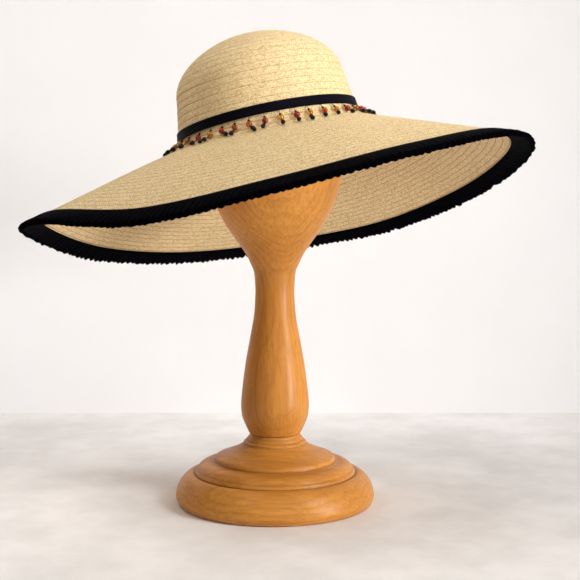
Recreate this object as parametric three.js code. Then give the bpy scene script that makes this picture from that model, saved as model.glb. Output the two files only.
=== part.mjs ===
// A wide floppy straw sun hat, resting tilted on a plain turned wooden hat stand.
// Millimetres, +Z up. The origin is the centre of the stand's underside, on the floor.
// The hat's front faces -Y. The stand's axis is the Z axis.
import * as THREE from 'three';
import { mergeVertices } from 'three/addons/utils/BufferGeometryUtils.js';

const GAP = 0.3;
const STRAW = 2.0;
const degrees = THREE.MathUtils.degToRad;

// The hat's place: the headline is the ring where the ribbon's lower edge lies.
const HAT_CENTRE = new THREE.Vector3(-6.4, 4.6, 376.4);
const HAT_ROLL = 11.8;
const HAT_PITCH = 5.4;

// The crown: a wall that tapers a little, and a round dome on it.
// It is built as a side and a top, which meet at a seam between two rows of braid.
// Turns on the dome run from 0 degrees at the wall to 90 at the middle of the top.
const HEADLINE_RADIUS = 90.7;
const WALL_HEIGHT = 42;
const WALL_TOP_RADIUS = 84;
const CROWN_HEIGHT = 94.6;
const DOME_POWER = 1.87;
const SEAM_HEIGHT = 1.6;
const SIDE_SEAM_TURN = 25.7;
const TOP_SEAM_TURN = SIDE_SEAM_TURN + THREE.MathUtils.radToDeg(GAP / (CROWN_HEIGHT - WALL_HEIGHT));
const SIDE_DOME_STEPS = 2;
const TOP_OUTSIDE_STEPS = 5;
const TOP_INSIDE_STEPS = 4;
const HAT_SIDES = 44;

// The brim: it leaves the crown's wall almost straight down, turns outward, then droops.
// It is built as an inner and an outer ring, which meet at a seam between two rows.
// Bearings run from the hat's right (+X) by way of its back (+Y).
// Slopes are degrees below the hat's own level; turn is how far out the turn reaches.
const BRIM_WIDTH = 177.4;
const WALL_SLOPE = 83;
const BRIM_ROWS = [
  { bearing: 0, root: 25, edge: 26, turn: 6 },
  { bearing: 30, root: 35.5, edge: 32, turn: 6 },
  { bearing: 60, root: 46.5, edge: 33, turn: 6 },
  { bearing: 90, root: 50.5, edge: 26.5, turn: 6 },
  { bearing: 120, root: 43, edge: 27.5, turn: 6 },
  { bearing: 150, root: 29.5, edge: 25.5, turn: 6 },
  { bearing: 180, root: 18.5, edge: 15.5, turn: 6 },
  { bearing: 210, root: 14, edge: 20, turn: 9 },
  { bearing: 240, root: 14.5, edge: 37, turn: 12.5 },
  { bearing: 270, root: 18, edge: 33, turn: 14 },
  { bearing: 300, root: 18, edge: 27, turn: 12.5 },
  { bearing: 330, root: 20, edge: 21.5, turn: 9 },
];

// The gathered black trim that wraps the brim's edge.
const TRIM_WIDTH = 20.8;
const TRIM_WALL = 1.3;
const TRIM_NOSE = 1.6;
const TRIM_START = BRIM_WIDTH - TRIM_WIDTH;
const BRIM_END = BRIM_WIDTH - TRIM_NOSE - GAP;
const BRIM_SEAM = 85;
const INNER_STATIONS = [-SEAM_HEIGHT + GAP / 2, 5, 10, 17, BRIM_SEAM];
const OUTER_STATIONS = [BRIM_SEAM + GAP, TRIM_START, BRIM_END];

// The black ribbon round the crown.
const BAND_LOW = 0.5;
const BAND_WIDTH = 9.5;
const BAND_THICKNESS = 1.0;

// The bead drops that hang from the ribbon's lower edge and lie on the brim.
// Each ends in one dark bead or two in a row, which swing aside by some degrees.
// The rows run from the hat's left by its front, and again from its right by its back.
const COLOUR_BEAD = { radius: 3.0, length: 5.6, reach: 10 };
const DARK_BEAD = { radius: 2.3, length: 5.8, beyond: 9.5 };
const PAIR_LENGTH = 1.7 * DARK_BEAD.length;
const SHOULDER = { along: 0.6, radius: 0.75 };
const THREAD_RADIUS = 0.5;
const BEAD_SIDES = 10;
const BEAD_GAP = GAP + 0.1;
const BEAD_COLOURS = { amber: 0xc98a3c, orange: 0xc0501c, red: 0xa82a1a };
const DROP_ROWS = [
  { bearing: 180, colour: 'amber', swing: 0, darks: 1 },
  { bearing: 189, colour: 'orange', swing: -10, darks: 1 },
  { bearing: 198, colour: 'amber', swing: -15, darks: 1 },
  { bearing: 207, colour: 'amber', swing: -12, darks: 1 },
  { bearing: 217, colour: 'amber', swing: -15, darks: 1 },
  { bearing: 227, colour: 'red', swing: -18, darks: 1 },
  { bearing: 236, colour: 'amber', swing: -25, darks: 2 },
  { bearing: 244, colour: 'red', swing: 40, darks: 1 },
  { bearing: 252, colour: 'orange', swing: -15, darks: 1 },
  { bearing: 260.5, colour: 'orange', swing: 24, darks: 2 },
  { bearing: 269.5, colour: 'red', swing: -18, darks: 1 },
  { bearing: 278.5, colour: 'amber', swing: 0, darks: 1 },
  { bearing: 287.5, colour: 'red', swing: -5, darks: 1 },
  { bearing: 295.5, colour: 'amber', swing: -15, darks: 2 },
  { bearing: 305, colour: 'orange', swing: -25, darks: 1 },
  { bearing: 314, colour: 'amber', swing: -28, darks: 1 },
  { bearing: 323.5, colour: 'red', swing: -15, darks: 1 },
  { bearing: 333, colour: 'amber', swing: -5, darks: 1 },
  { bearing: 342, colour: 'red', swing: -5, darks: 1 },
  { bearing: 351, colour: 'orange', swing: -5, darks: 1 },
];

// The stand: a foot with stepped rings, and a post with a round head.
const FOOT_SIDES = 26;
const POST_SIDES = 28;
const FOOT_TOP = 70;
const HEAD_CENTRE = 392;
const HEAD_RADIUS = 74.3;
const HEAD_TOP = 468.6;
const HEAD_STEP = 15;

const FOOT_PROFILE = [
  { radius: 0, height: 0 },
  { radius: 97.5, height: 0 },
  { radius: 100.2, height: 6.5 },
  { radius: 97.8, height: 16 },
  { radius: 93.4, height: 23 },
  { radius: 87.5, height: 28 },
  { radius: 80.2, height: 29.4 },
  { radius: 80.6, height: 31.5 },
  { radius: 75.5, height: 37.8 },
  { radius: 63.2, height: 39.2 },
  { radius: 60.2, height: 41 },
  { radius: 60, height: 44.6 },
  { radius: 56.6, height: 48.3 },
  { radius: 42, height: 53.2 },
  { radius: 37.2, height: 56 },
  { radius: 36.6, height: 58.5 },
  { radius: 31.4, height: 61.4 },
  { radius: 27, height: 65 },
  { radius: 25.4, height: FOOT_TOP },
  { radius: 0, height: FOOT_TOP },
];

const POST_PROFILE = [
  { radius: 0, height: FOOT_TOP + GAP },
  { radius: 25.8, height: FOOT_TOP + GAP },
  { radius: 29.8, height: 79 },
  { radius: 33, height: 87 },
  { radius: 34.2, height: 96 },
  { radius: 34.1, height: 104 },
  { radius: 32.5, height: 120 },
  { radius: 29.5, height: 142 },
  { radius: 26.5, height: 159 },
  { radius: 23.5, height: 175 },
  { radius: 21, height: 190 },
  { radius: 19.6, height: 212 },
  { radius: 20.9, height: 233 },
  { radius: 24, height: 241 },
  { radius: 28.8, height: 251 },
  { radius: 37.5, height: 264 },
  { radius: 46.1, height: 276 },
  { radius: 56.5, height: 295 },
  { radius: 62.6, height: 313 },
  { radius: 67.1, height: 330 },
  { radius: 72.4, height: 362 },
];

const MERGE_DISTANCE = 1e-4;

const SKIN = {
  wood: { color: 0xc2803f, roughness: 0.35, metalness: 0 },
  straw: { color: 0xe6cfa0, roughness: 0.8, metalness: 0 },
  ribbon: { color: 0x0d0a12, roughness: 0.5, metalness: 0 },
  trim: { color: 0x0a0910, roughness: 0.85, metalness: 0 },
};

// Bodies: every shape below is one closed mesh.

function closedBody(geometry) {
  geometry.deleteAttribute('normal');
  geometry.deleteAttribute('uv');
  const merged = mergeVertices(geometry, MERGE_DISTANCE);
  const index = merged.index.array;
  const kept = [];
  for (let i = 0; i < index.length; i += 3) {
    const [a, b, c] = [index[i], index[i + 1], index[i + 2]];
    if (a !== b && b !== c && c !== a) {
      kept.push(a, b, c);
    }
  }
  merged.setIndex(kept);
  return facingOut(merged);
}

function facingOut(geometry) {
  const points = geometry.attributes.position;
  const index = Array.from(geometry.index.array);
  const corner = (i) => new THREE.Vector3().fromBufferAttribute(points, index[i]);
  let volume = 0;
  for (let i = 0; i < index.length; i += 3) {
    volume += corner(i).dot(corner(i + 1).cross(corner(i + 2)));
  }
  if (volume < 0) {
    index.reverse();
  }
  geometry.setIndex(index);
  geometry.computeVertexNormals();
  return geometry;
}

function namedMesh(name, geometry, skin) {
  const mesh = new THREE.Mesh(geometry, new THREE.MeshStandardMaterial(skin));
  mesh.name = name;
  return mesh;
}

// A turned body: the profile starts and ends on the axis.
function turnedBody(profile, sides) {
  const points = profile.map((row) => new THREE.Vector2(row.radius, row.height));
  const geometry = new THREE.LatheGeometry(points, sides);
  geometry.rotateX(Math.PI / 2);
  return closedBody(geometry);
}

// A skin over closed loops of points; the loops close into a ring, or end in a point each.
// Each facet with four corners is split along its shorter diagonal, so that faces which
// lie along each other are split alike.
function skinnedBody(loops, ends) {
  const size = loops[0].length;
  const points = loops.flat();
  const index = [];
  const spans = ends ? loops.length - 1 : loops.length;
  for (let i = 0; i < spans; i += 1) {
    const next = (i + 1) % loops.length;
    for (let j = 0; j < size; j += 1) {
      const k = (j + 1) % size;
      const [a, b, c, d] = [i * size + j, i * size + k, next * size + j, next * size + k];
      const firstSplit = points[b].distanceTo(points[c]) < points[a].distanceTo(points[d]);
      index.push(...(firstSplit ? [a, c, b, b, c, d] : [a, c, d, a, d, b]));
    }
  }
  if (ends) {
    const last = (loops.length - 1) * size;
    points.push(ends.first, ends.last);
    for (let j = 0; j < size; j += 1) {
      const k = (j + 1) % size;
      index.push(points.length - 2, j, k);
      index.push(points.length - 1, last + k, last + j);
    }
  }
  const geometry = new THREE.BufferGeometry().setFromPoints(points);
  geometry.setIndex(index);
  return facingOut(geometry);
}

// A ring body: section(bearing) gives its outline as points in radius and height.
function ringBody(section, sides) {
  const loops = [];
  for (let i = 0; i < sides; i += 1) {
    const bearing = (360 * i) / sides;
    const [c, s] = [Math.cos(degrees(bearing)), Math.sin(degrees(bearing))];
    loops.push(section(bearing).map((p) => new THREE.Vector3(p.x * c, p.x * s, p.y)));
  }
  return skinnedBody(loops, null);
}

// The wall's outside radius at a height above the headline.
function wallRadius(height) {
  return HEADLINE_RADIUS + ((WALL_TOP_RADIUS - HEADLINE_RADIUS) * height) / WALL_HEIGHT;
}

// A stretch of the dome's outside, from one turn to another.
function domeRows(from, to, steps) {
  const rows = [];
  for (let i = 0; i <= steps; i += 1) {
    const turn = degrees(from + ((to - from) * i) / steps);
    const across = turn < Math.PI / 2 ? Math.pow(Math.cos(turn), 2 / DOME_POWER) : 0;
    const up = Math.pow(Math.sin(turn), 2 / DOME_POWER);
    rows.push({
      radius: WALL_TOP_RADIUS * across,
      height: WALL_HEIGHT + (CROWN_HEIGHT - WALL_HEIGHT) * up,
    });
  }
  return rows;
}

// The dome's inside is its outside moved in by the straw's thickness.
function domeInside(row) {
  const rise = CROWN_HEIGHT - WALL_HEIGHT;
  return {
    radius: (row.radius * (WALL_TOP_RADIUS - STRAW)) / WALL_TOP_RADIUS,
    height: WALL_HEIGHT + ((row.height - WALL_HEIGHT) * (rise - STRAW)) / rise,
  };
}

function crownSideBody() {
  const low = { radius: wallRadius(SEAM_HEIGHT + GAP), height: SEAM_HEIGHT + GAP };
  const dome = domeRows(0, SIDE_SEAM_TURN, SIDE_DOME_STEPS);
  const lowInside = { radius: low.radius - STRAW, height: low.height };
  const rows = [low, ...dome, ...dome.map(domeInside).reverse(), lowInside];
  return ringBody(() => rows.map((row) => new THREE.Vector2(row.radius, row.height)), HAT_SIDES);
}

function crownTopBody() {
  const outside = domeRows(TOP_SEAM_TURN, 90, TOP_OUTSIDE_STEPS);
  const inside = domeRows(TOP_SEAM_TURN, 90, TOP_INSIDE_STEPS).map(domeInside);
  return turnedBody([...outside.reverse(), ...inside], HAT_SIDES);
}

function hatBandBody() {
  const low = BAND_LOW;
  const high = BAND_LOW + BAND_WIDTH;
  const inside = (height) => wallRadius(height) + GAP;
  const section = () => [
    new THREE.Vector2(inside(low), low),
    new THREE.Vector2(inside(low) + BAND_THICKNESS, low),
    new THREE.Vector2(inside(high) + BAND_THICKNESS, high),
    new THREE.Vector2(inside(high), high),
  ];
  return ringBody(section, HAT_SIDES);
}

// A value between the brim's rows, smooth round the hat.
function brimValue(name, bearing) {
  const count = BRIM_ROWS.length;
  const place = (((bearing % 360) + 360) % 360) / (360 / count);
  const i = Math.floor(place);
  const t = place - i;
  const [a, b, c, d] = [-1, 0, 1, 2].map((k) => BRIM_ROWS[(i + k + count) % count][name]);
  const slopeIn = (c - a) / 2;
  const slopeOut = (d - b) / 2;
  const rise = c - b;
  const square = 3 * rise - 2 * slopeIn - slopeOut;
  const cube = slopeIn + slopeOut - 2 * rise;
  return b + t * (slopeIn + t * (square + t * cube));
}

// The brim's slope in radians at a distance out from the headline.
function brimSlope(bearing, distance) {
  const share = Math.max(distance, 0) / BRIM_WIDTH;
  const root = brimValue('root', bearing);
  const edge = brimValue('edge', bearing);
  const turn = brimValue('turn', bearing);
  const plain = root + (edge - root) * share;
  const fade = Math.exp(-((Math.max(distance, 0) / turn) ** 2));
  return degrees(plain + (WALL_SLOPE - plain) * fade);
}

// The brim's middle line at a bearing, with its slope, at each station.
// It is followed in steps of a millimetre at most.
function brimLine(bearing, stations) {
  const rows = [];
  let point = new THREE.Vector2(HEADLINE_RADIUS - STRAW / 2, 0);
  let at = 0;
  for (const station of stations) {
    const steps = Math.max(1, Math.ceil(Math.abs(station - at)));
    const step = (station - at) / steps;
    for (let i = 0; i < steps; i += 1) {
      const slope = brimSlope(bearing, at + step * (i + 0.5));
      const heading = new THREE.Vector2(Math.cos(slope), -Math.sin(slope));
      point = point.clone().addScaledVector(heading, step);
    }
    at = station;
    rows.push({ distance: station, point, slope: brimSlope(bearing, station) });
  }
  return rows;
}

function lifted(row, lift) {
  const normal = new THREE.Vector2(Math.sin(row.slope), Math.cos(row.slope));
  return row.point.clone().add(normal.multiplyScalar(lift));
}

function brimBody(stations) {
  const section = (bearing) => {
    const rows = brimLine(bearing, stations);
    const over = rows.map((row) => lifted(row, STRAW / 2));
    const under = rows.map((row) => lifted(row, -STRAW / 2)).reverse();
    return [...over, ...under];
  };
  return ringBody(section, HAT_SIDES);
}

// The trim is a folded band: out over the brim, round its edge and back under it.
function edgeTrimBody() {
  const clear = STRAW / 2 + GAP;
  const outer = clear + TRIM_WALL;
  const section = (bearing) => {
    const [, start, end, nose] = brimLine(bearing, [0, TRIM_START, BRIM_END, BRIM_WIDTH]);
    const step = new THREE.Vector2(Math.cos(end.slope), -Math.sin(end.slope)).multiplyScalar(GAP);
    const pocket = { point: end.point.clone().add(step), slope: end.slope };
    return [
      lifted(start, outer),
      lifted(end, outer),
      nose.point,
      lifted(end, -outer),
      lifted(start, -outer),
      lifted(start, -clear),
      lifted(pocket, -clear),
      lifted(pocket, clear),
      lifted(start, clear),
    ];
  };
  return ringBody(section, HAT_SIDES);
}

// A point of a drop in its own frame: x out from the hat's axis, y sideways, z up.
// Between stations it follows the straight line between them.
function overBrim(bearing, distance, sideways, lift) {
  const turned = sideways / (HEADLINE_RADIUS + distance);
  const rows = brimLine(bearing + THREE.MathUtils.radToDeg(turned), INNER_STATIONS);
  const i = rows.findIndex((row) => row.distance > distance);
  const [from, to] = [rows[i - 1], rows[i]];
  const share = (distance - from.distance) / (to.distance - from.distance);
  const point = from.point.clone().lerp(to.point, share);
  const along = to.point.clone().sub(from.point).normalize();
  point.add(new THREE.Vector2(-along.y, along.x).multiplyScalar(lift));
  return new THREE.Vector3(point.x * Math.cos(turned), point.x * Math.sin(turned), point.y);
}

function beadRing(centre, axis, radius) {
  const across = new THREE.Vector3(0, 1, 0).cross(axis).normalize();
  const side = axis.clone().cross(across);
  const ring = [];
  for (let i = 0; i < BEAD_SIDES; i += 1) {
    const angle = (2 * Math.PI * i) / BEAD_SIDES;
    const spoke = across.clone().multiplyScalar(Math.cos(angle) * radius);
    ring.push(centre.clone().add(spoke).addScaledVector(side, Math.sin(angle) * radius));
  }
  return ring;
}

// One drop: a thread, a round colour bead, a neck and a longer dark bead, in one skin.
// The dark bead lies along the brim, swung aside from straight out.
function dropBody(bearing, swing, darkLength) {
  const clear = STRAW / 2 + BEAD_GAP;
  const heading = new THREE.Vector2(Math.cos(degrees(swing)), Math.sin(degrees(swing)));
  const darkPoint = (run) => overBrim(
    bearing, COLOUR_BEAD.reach + run * heading.x, run * heading.y, clear + DARK_BEAD.radius);
  const top = new THREE.Vector3(wallRadius(0) + GAP + BAND_THICKNESS / 2, 0, BAND_LOW - BEAD_GAP);
  const colour = overBrim(bearing, COLOUR_BEAD.reach, 0, clear + COLOUR_BEAD.radius);
  const darkStart = darkPoint(DARK_BEAD.beyond - DARK_BEAD.length / 2);
  const darkEnd = darkPoint(DARK_BEAD.beyond - DARK_BEAD.length / 2 + darkLength);
  const fall = colour.clone().sub(top).normalize();
  const lie = darkEnd.clone().sub(darkStart).normalize();
  const along = (centre, axis, distance) => centre.clone().addScaledVector(axis, distance);
  const half = COLOUR_BEAD.length / 2;
  const neck = along(colour, fall, half).lerp(darkStart, 0.5);
  const loops = [
    beadRing(along(colour, fall, -half), fall, THREAD_RADIUS),
    beadRing(along(colour, fall, -half * SHOULDER.along), fall, COLOUR_BEAD.radius * SHOULDER.radius),
    beadRing(colour, fall, COLOUR_BEAD.radius),
    beadRing(along(colour, fall, half * SHOULDER.along), fall, COLOUR_BEAD.radius * SHOULDER.radius),
    beadRing(neck, fall.clone().add(lie).normalize(), THREAD_RADIUS),
    beadRing(along(darkStart, lie, DARK_BEAD.length / 4), lie, DARK_BEAD.radius),
    beadRing(along(darkEnd, lie, -DARK_BEAD.length / 4), lie, DARK_BEAD.radius),
  ];
  return skinnedBody(loops, { first: top, last: darkEnd });
}

function beadDrop(row, bearing, number) {
  const darkLength = row.darks === 1 ? DARK_BEAD.length : PAIR_LENGTH;
  const name = `bead_drop_${String(number).padStart(2, '0')}`;
  const skin = { color: BEAD_COLOURS[row.colour], roughness: 0.2, metalness: 0 };
  const drop = namedMesh(name, dropBody(bearing, row.swing, darkLength), skin);
  drop.rotation.z = degrees(bearing);
  return drop;
}

// The head's dome continues the post's profile up to its top.
function postBody() {
  const dome = [];
  const rise = HEAD_TOP - HEAD_CENTRE;
  for (let angle = 0; angle <= 90; angle += HEAD_STEP) {
    dome.push({
      radius: angle === 90 ? 0 : HEAD_RADIUS * Math.cos(degrees(angle)),
      height: HEAD_CENTRE + rise * Math.sin(degrees(angle)),
    });
  }
  return turnedBody([...POST_PROFILE, ...dome], POST_SIDES);
}

const stand = new THREE.Group();
stand.add(namedMesh('stand_foot', turnedBody(FOOT_PROFILE, FOOT_SIDES), SKIN.wood));
stand.add(namedMesh('stand_post', postBody(), SKIN.wood));

const hat = new THREE.Group();
hat.position.copy(HAT_CENTRE);
hat.rotation.set(-degrees(HAT_PITCH), -degrees(HAT_ROLL), 0, 'YXZ');
hat.add(namedMesh('crown_top', crownTopBody(), SKIN.straw));
hat.add(namedMesh('crown_side', crownSideBody(), SKIN.straw));
hat.add(namedMesh('brim_inner', brimBody(INNER_STATIONS), SKIN.straw));
hat.add(namedMesh('brim_outer', brimBody(OUTER_STATIONS), SKIN.straw));
hat.add(namedMesh('hat_band', hatBandBody(), SKIN.ribbon));
hat.add(namedMesh('edge_trim', edgeTrimBody(), SKIN.trim));
DROP_ROWS.forEach((row, i) => {
  hat.add(beadDrop(row, row.bearing, i + 1));
  hat.add(beadDrop(row, row.bearing + 180, i + 1 + DROP_ROWS.length));
});

const hatOnStand = new THREE.Group();
hatOnStand.add(stand, hat);

export default hatOnStand;
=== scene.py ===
# %% [markdown]
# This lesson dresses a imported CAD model: a floppy straw sun hat that rests, tilted, on a
# turned wooden hat stand. The CAD gives every place and size. Blender adds what the eye
# looks for: sewn rows of straw braid, a gathered black edge, strung beads and wood grain.
# Everything is in metres and stands in the CAD's own frame, with the floor at height zero.

# %% Load the frame
import math

import bpy
import numpy as np
from mathutils import Matrix


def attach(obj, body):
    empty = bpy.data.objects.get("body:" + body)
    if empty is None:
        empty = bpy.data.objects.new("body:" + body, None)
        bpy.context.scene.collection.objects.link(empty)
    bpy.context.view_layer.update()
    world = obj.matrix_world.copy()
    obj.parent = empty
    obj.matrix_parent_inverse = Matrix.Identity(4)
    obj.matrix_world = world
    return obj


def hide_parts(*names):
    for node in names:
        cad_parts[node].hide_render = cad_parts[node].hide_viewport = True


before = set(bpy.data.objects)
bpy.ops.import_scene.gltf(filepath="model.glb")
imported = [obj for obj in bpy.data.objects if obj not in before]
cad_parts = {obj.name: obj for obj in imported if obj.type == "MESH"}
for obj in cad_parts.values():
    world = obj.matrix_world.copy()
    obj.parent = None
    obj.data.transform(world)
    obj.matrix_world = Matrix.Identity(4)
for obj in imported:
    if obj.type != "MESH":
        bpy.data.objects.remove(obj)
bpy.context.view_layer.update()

MM = 0.001

# %% [markdown]
# The hat has a frame of its own. Its origin is the middle of the headline, the ring where
# the crown meets the brim. In that frame the hat is level, and one matrix tilts the whole
# of it onto the stand. That keeps every piece of the hat simple to describe.

# %% The hat's own frame
HAT_CENTRE = np.array((-6.4, 4.6, 376.4))
HAT_ROLL = math.radians(11.8)
HAT_PITCH = math.radians(5.4)
HAT_TURN = np.array(Matrix.Rotation(-HAT_ROLL, 3, "Y") @ Matrix.Rotation(-HAT_PITCH, 3, "X"))


def on_hat(points):
    """Points of the hat's own frame, in mm, as points of the scene, in metres."""
    return (np.asarray(points, float) @ HAT_TURN.T + HAT_CENTRE) * MM


def turned_to_hat(vectors):
    """Directions of the hat's own frame as directions of the scene."""
    return np.asarray(vectors, float) @ HAT_TURN.T


print("headline centre in metres:", on_hat((0, 0, 0)).round(4))

# %% [markdown]
# Two small helpers keep the node trees short to read. A socket may be given a number or
# another socket, and a chain of arithmetic then reads like the formula that it stands for.

# %% Helpers for node trees
def feed(tree, socket, value):
    """Links a socket to another one, or sets it to a plain value."""
    if isinstance(value, bpy.types.NodeSocket):
        tree.links.new(value, socket)
    else:
        socket.default_value = value


def node(tree, kind, inputs=None, **settings):
    """A new node with its settings and its inputs by name or number."""
    made = tree.nodes.new(kind)
    for name, value in settings.items():
        setattr(made, name, value)
    for key, value in (inputs or {}).items():
        feed(tree, made.inputs[key], value)
    return made


def calc(tree, operation, *values):
    """The result socket of one Math node."""
    inputs = dict(enumerate(values))
    return node(tree, "ShaderNodeMath", inputs, operation=operation).outputs[0]


def scaled(tree, vector, factor):
    """The result socket of a vector times a number."""
    return node(tree, "ShaderNodeVectorMath", {0: vector, 3: factor}, operation="SCALE").outputs[0]


def blend_colours(tree, share, first, second):
    """The result socket of a colour mix."""
    mix = node(tree, "ShaderNodeMix", data_type="RGBA")
    feed(tree, mix.inputs[0], share)
    feed(tree, mix.inputs[6], first)
    feed(tree, mix.inputs[7], second)
    return mix.outputs[2]


def ranged(tree, value, low, high, to_low=0.0, to_high=1.0):
    """A value mapped from one range to another, smoothly and held at its ends."""
    inputs = {0: value, 1: low, 2: high, 3: to_low, 4: to_high}
    return node(tree, "ShaderNodeMapRange", inputs, interpolation_type="SMOOTHSTEP").outputs[0]


def colour(red, green, blue):
    """A colour with three parts, as a socket takes it."""
    return (red, green, blue, 1.0)


def new_material(name, **uniform):
    """A material with a Principled shader; uniform values go on its own sockets."""
    material = bpy.data.materials.new(name)
    material.use_nodes = True
    shader = material.node_tree.nodes["Principled BSDF"]
    for socket, value in uniform.items():
        shader.inputs[socket.replace("_", " ")].default_value = value
    return material, material.node_tree, shader


print("helpers ready")

# %% [markdown]
# The straw is a flat braid of paper straw, plaited in a fine herringbone and sewn round
# and round in rows about 7 mm wide. A picture of straw would slide and repeat, so the
# braid is worked out from the piece's own UV map instead. Across, one unit is one row.
# Round the hat, one unit is one strand, and each row has a whole number of strands. Each strand is painted
# lighter in its middle and darker at its edges, a painted highlight and painted shade that follow the plait.
# The seams between rows look deeper on the underside, so they carry a line of painted shade that is darker
# where a face looks down.

# %% Straw braid material
LANES = 3
STRAND_SLANT = 1.1
STRAW_DARK = colour(0.54, 0.25, 0.048)
STRAW_LIGHT = colour(1.0, 0.80, 0.45)
# Painted shade colour for the seams between rows.
STRAW_SEAM_SHADOW = colour(0.34, 0.15, 0.03)
CHANCE_SHARE = 0.34
# Share of the strands' painted highlight and painted shade in the straw's tone.
PLAIT_SHADE_SHARE = 0.86
SPECKLE_SHARE = 0.60
SPECKLE_MIDDLE = 0.34
SPECKLE_SCALE = 700.0
SEAM_SHADE_BELOW = 0.70
SEAM_SHADE_LESS = 0.36


def braid_lanes(tree):
    """Where a point lies in the plait: its strand, its lane, and its place in both."""
    parts = node(tree, "ShaderNodeSeparateXYZ",
                 {0: node(tree, "ShaderNodeUVMap", uv_map="braid").outputs[0]})
    around, across = parts.outputs[0], parts.outputs[1]
    lane_place = calc(tree, "MULTIPLY", across, LANES)
    lane = calc(tree, "FLOOR", lane_place)
    in_lane = calc(tree, "SUBTRACT", calc(tree, "FRACT", lane_place), 0.5)
    odd = calc(tree, "FLOORED_MODULO", lane, 2.0)
    lean = calc(tree, "SUBTRACT", 1.0, calc(tree, "MULTIPLY", odd, 2.0))
    slant = calc(tree, "MULTIPLY", calc(tree, "MULTIPLY", lean, in_lane), STRAND_SLANT)
    phase = calc(tree, "ADD", around, slant)
    return across, lane, in_lane, calc(tree, "FLOOR", phase), calc(tree, "FRACT", phase)


def rounded(tree, place, half, power):
    """One in the middle of a strip and falling to nothing at both of its edges."""
    off = calc(tree, "ABSOLUTE", calc(tree, "DIVIDE", place, half))
    return calc(tree, "SUBTRACT", 1.0, calc(tree, "POWER", off, power))


def straw_material():
    material, tree, shader = new_material("straw braid", Roughness=0.62)
    shader.inputs["Specular IOR Level"].default_value = 0.25
    across, lane, in_lane, strand, in_strand = braid_lanes(tree)
    # Painted highlight and shade: each strand is lighter in its middle and darker at its edges; the same
    # shape also raises the bump.
    centred = calc(tree, "SUBTRACT", in_strand, 0.5)
    strand_round = rounded(tree, centred, 0.5, 2.0)
    lane_round = calc(tree, "ADD", 0.6, calc(tree, "MULTIPLY", rounded(tree, in_lane, 0.5, 4.0), 0.4))
    plait_relief_and_shade = calc(tree, "MULTIPLY", strand_round, lane_round)

    row_place = calc(tree, "FRACT", across)
    to_edge = calc(tree, "MINIMUM", row_place, calc(tree, "SUBTRACT", 1.0, row_place))
    groove = ranged(tree, to_edge, 0.0, 0.10)

    cell = node(tree, "ShaderNodeCombineXYZ", {0: strand, 1: lane, 2: 0.0}).outputs[0]
    chance = node(tree, "ShaderNodeTexWhiteNoise", {0: cell}, noise_dimensions="3D").outputs[0]
    place = node(tree, "ShaderNodeTexCoord").outputs["Object"]
    drift = node(tree, "ShaderNodeTexNoise", {"Vector": place, "Scale": SPECKLE_SCALE, "Detail": 0.0})
    speckle = calc(tree, "SUBTRACT", ranged(tree, drift.outputs[0], 0.36, 0.64), SPECKLE_MIDDLE)
    tone = calc(tree, "ADD", calc(tree, "MULTIPLY", chance, CHANCE_SHARE),
                calc(tree, "MULTIPLY", plait_relief_and_shade, PLAIT_SHADE_SHARE))
    tone = calc(tree, "ADD", tone, calc(tree, "MULTIPLY", speckle, SPECKLE_SHARE))
    straw = blend_colours(tree, tone, STRAW_DARK, STRAW_LIGHT)

    # Painted shade: each seam between rows is darkened, and more so where a face looks down.
    facing = node(tree, "ShaderNodeNewGeometry").outputs["Normal"]
    upward = node(tree, "ShaderNodeSeparateXYZ", {0: facing}).outputs[2]
    less = calc(tree, "MULTIPLY", ranged(tree, upward, -0.2, 0.1), SEAM_SHADE_LESS)
    seam_shade = calc(tree, "SUBTRACT", SEAM_SHADE_BELOW, less)
    shade = calc(tree, "MULTIPLY", calc(tree, "SUBTRACT", 1.0, groove), seam_shade)
    feed(tree, shader.inputs["Base Color"], blend_colours(tree, shade, straw, STRAW_SEAM_SHADOW))

    height = calc(tree, "ADD", plait_relief_and_shade, calc(tree, "MULTIPLY", groove, 0.5))
    bump = node(tree, "ShaderNodeBump", {"Height": height, "Strength": 0.9, "Distance": 0.0007})
    feed(tree, shader.inputs["Normal"], bump.outputs[0])
    return material


straw = straw_material()
print("made", straw.name)

# %% [markdown]
# The stand is turned from a plain-sawn hardwood and varnished to a satin shine. Growth
# rings are cylinders round the tree's heart, which lay behind the blank, so a bulge shows
# them as ovals and a neck shows them as arches. The same rule is used here: rings are
# distances from an axis behind the stand. The foot's blank lay flat, so its axis lies
# across, and its rings show as lines that run round the front.

# %% Varnished wood material
WOOD_EARLY = colour(0.72, 0.315, 0.060)
WOOD_LATE = colour(0.34, 0.098, 0.009)
# Dark colour for the fibre pores, and for the painted shade with pooled varnish in the grooves.
WOOD_PORE_AND_GROOVE_SHADE = colour(0.20, 0.055, 0.008)
RING_WANDER = 8.0
LATE_POWER = 3.2
LATE_END = 0.86


def grain_noise(tree, place, stretch, scale, roughness=0.5):
    """Noise that is drawn out along the grain."""
    drawn = node(tree, "ShaderNodeMapping", {"Vector": place, "Scale": (1.0, 1.0, stretch)}).outputs[0]
    return node(tree, "ShaderNodeTexNoise", {"Vector": drawn, "Scale": scale, "Detail": 2.0,
                                             "Roughness": roughness}).outputs[0]


def late_wood(tree, lying, ring_width):
    """The dark, late part of each growth ring, from none to one."""
    parts = node(tree, "ShaderNodeSeparateXYZ", {0: lying})
    flat = node(tree, "ShaderNodeCombineXYZ", {0: parts.outputs[0], 1: parts.outputs[1]}).outputs[0]
    out = node(tree, "ShaderNodeVectorMath", {0: flat}, operation="LENGTH").outputs["Value"]
    wander = calc(tree, "MULTIPLY", grain_noise(tree, lying, 0.2, 16.0), RING_WANDER)
    rings = calc(tree, "ADD", calc(tree, "DIVIDE", out, ring_width), wander)
    in_ring = calc(tree, "FRACT", rings)
    late = calc(tree, "POWER", in_ring, LATE_POWER)
    return calc(tree, "MULTIPLY", late, ranged(tree, in_ring, 1.0, LATE_END))


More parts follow.
